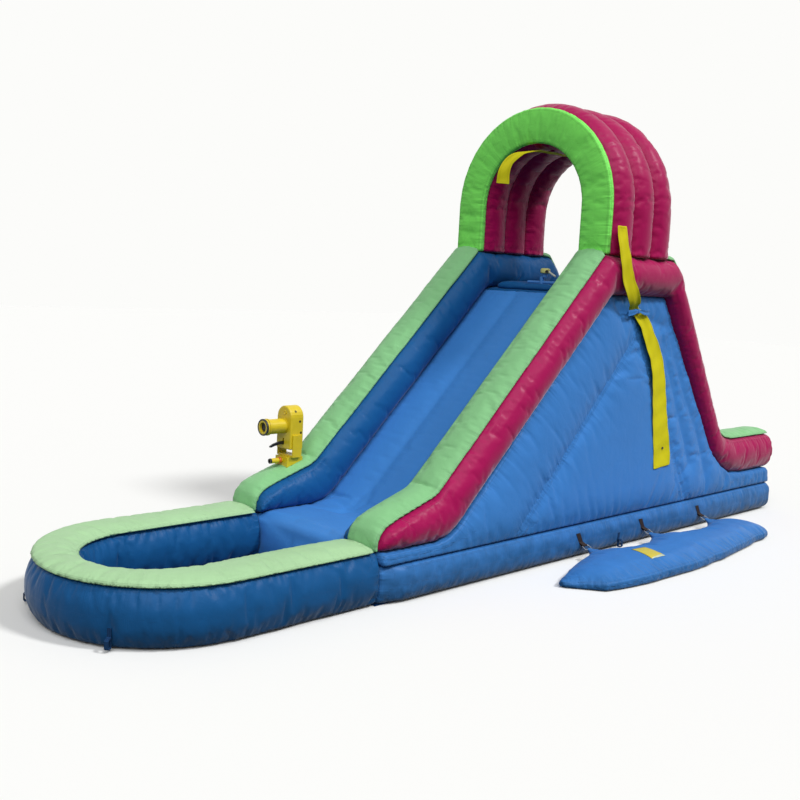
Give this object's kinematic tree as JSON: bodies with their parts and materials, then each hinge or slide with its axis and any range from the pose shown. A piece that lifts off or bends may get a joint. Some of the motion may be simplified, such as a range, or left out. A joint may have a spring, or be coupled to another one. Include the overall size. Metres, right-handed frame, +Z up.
{
  "type": "inflatable water slide",
  "caption": "Inflatable water slide with an oval splash pool, a padded lane, a tunnel arch, a climbing wall, a ballast bag and a swivelling water cannon.",
  "frame": {"origin": "on the underside of the ground sheet, midway between the rails, below the slide lane", "axes": "+Z up, +Y along the slide from the pool to the climbing end, +X across towards the ballast bag"},
  "size_m": [2.3673, 5.831, 2.917],
  "materials": {
    "blue_vinyl": "semi-gloss coated fabric",
    "green_vinyl": "semi-gloss coated fabric",
    "magenta_vinyl": "glossy coated fabric",
    "yellow_fabric": "satin woven fabric",
    "underside_vinyl": "matt coated fabric",
    "black_webbing": "matt woven webbing",
    "ring_metal": "dulled plating",
    "yellow_plastic": "gloss moulding",
    "black_plastic": "satin moulding",
    "pale_plastic": "satin tube"
  },
  "bodies": {
    "slide": {"anchor_pool_left": "black_webbing", "anchor_pool_right": "black_webbing", "anchor_side_left": "black_webbing", "anchor_side_right": "black_webbing", "arch_face": "green_vinyl", "arch_lobe_front": "magenta_vinyl", "arch_lobe_middle": "magenta_vinyl", "arch_lobe_rear": "magenta_vinyl", "ballast_ring_1": "ring_metal", "ballast_ring_2": "ring_metal", "ballast_ring_3": "ring_metal", "ballast_strap_1": "black_webbing", "ballast_strap_2": "black_webbing", "ballast_strap_3": "black_webbing", "base_tube_left": "blue_vinyl", "base_tube_right": "blue_vinyl", "blower_tube": "blue_vinyl", "cannon_foot": "yellow_plastic", "cannon_inlet": "yellow_plastic", "cannon_inlet_mouth": "black_plastic", "climb_handle_left": "black_webbing", "climb_handle_right": "black_webbing", "climb_step_1": "green_vinyl", "climb_step_2": "green_vinyl", "climb_step_3": "green_vinyl", "climb_step_4": "green_vinyl", "climb_wall": "blue_vinyl", "deck": "blue_vinyl", "deck_mat": "blue_vinyl", "front_cap_left": "green_vinyl", "front_cap_right": "green_vinyl", "ground_sheet": "underside_vinyl", "hose_sleeve_inner": "yellow_fabric", "hose_sleeve_outer": "yellow_fabric", "inner_bolster_left": "blue_vinyl", "inner_bolster_right": "blue_vinyl", "inner_web_front": "blue_vinyl", "inner_web_middle": "blue_vinyl", "inner_web_rear": "blue_vinyl", "landing_pad": "blue_vinyl", "lane_sprinkler": "pale_plastic", "outer_bolster_left": "magenta_vinyl", "outer_bolster_right": "magenta_vinyl", "pool_floor": "blue_vinyl", "pool_rim": "green_vinyl", "pool_wall": "blue_vinyl", "rear_cap_left": "green_vinyl", "rear_cap_right": "green_vinyl", "side_panel_left": "blue_vinyl", "side_panel_right": "blue_vinyl", "sleeve_keeper": "blue_vinyl", "slide_lane": "blue_vinyl"},
    "cannon_mount": {"cannon_yoke": "yellow_plastic"},
    "cannon_head": {"cannon_shell_left": "yellow_plastic", "cannon_shell_right": "yellow_plastic", "cannon_barrel": "yellow_plastic"},
    "cannon_lever": {"cannon_trigger": "black_plastic"},
    "ballast": {"ballast_bag": "blue_vinyl"}
  },
  "joints": [
    {"name": "cannon_swivel", "type": "hinge", "parent": "slide", "child": "cannon_mount", "pos_m": [-0.529, -1.09, 0.585], "axis": [0, 0, 1], "range_deg": [-60, 60]},
    {"name": "cannon_tilt", "type": "hinge", "parent": "cannon_mount", "child": "cannon_head", "pos_m": [-0.529, -1.09, 0.6998], "axis": [-1, 0, 0], "range_deg": [-15, 30]},
    {"name": "cannon_trigger_pull", "type": "hinge", "parent": "cannon_head", "child": "cannon_lever", "pos_m": [-0.529, -1.118, 0.6718], "axis": [-1, 0, 0], "range_deg": [0, 10], "stiffness_Nm_per_rad": 0.5},
    {"name": "ballast_lift", "type": "hinge", "parent": "slide", "child": "ballast", "pos_m": [0.7735, 1.03, 0.072], "axis": [0, -1, 0], "range_deg": [0, 75]}
  ]
}
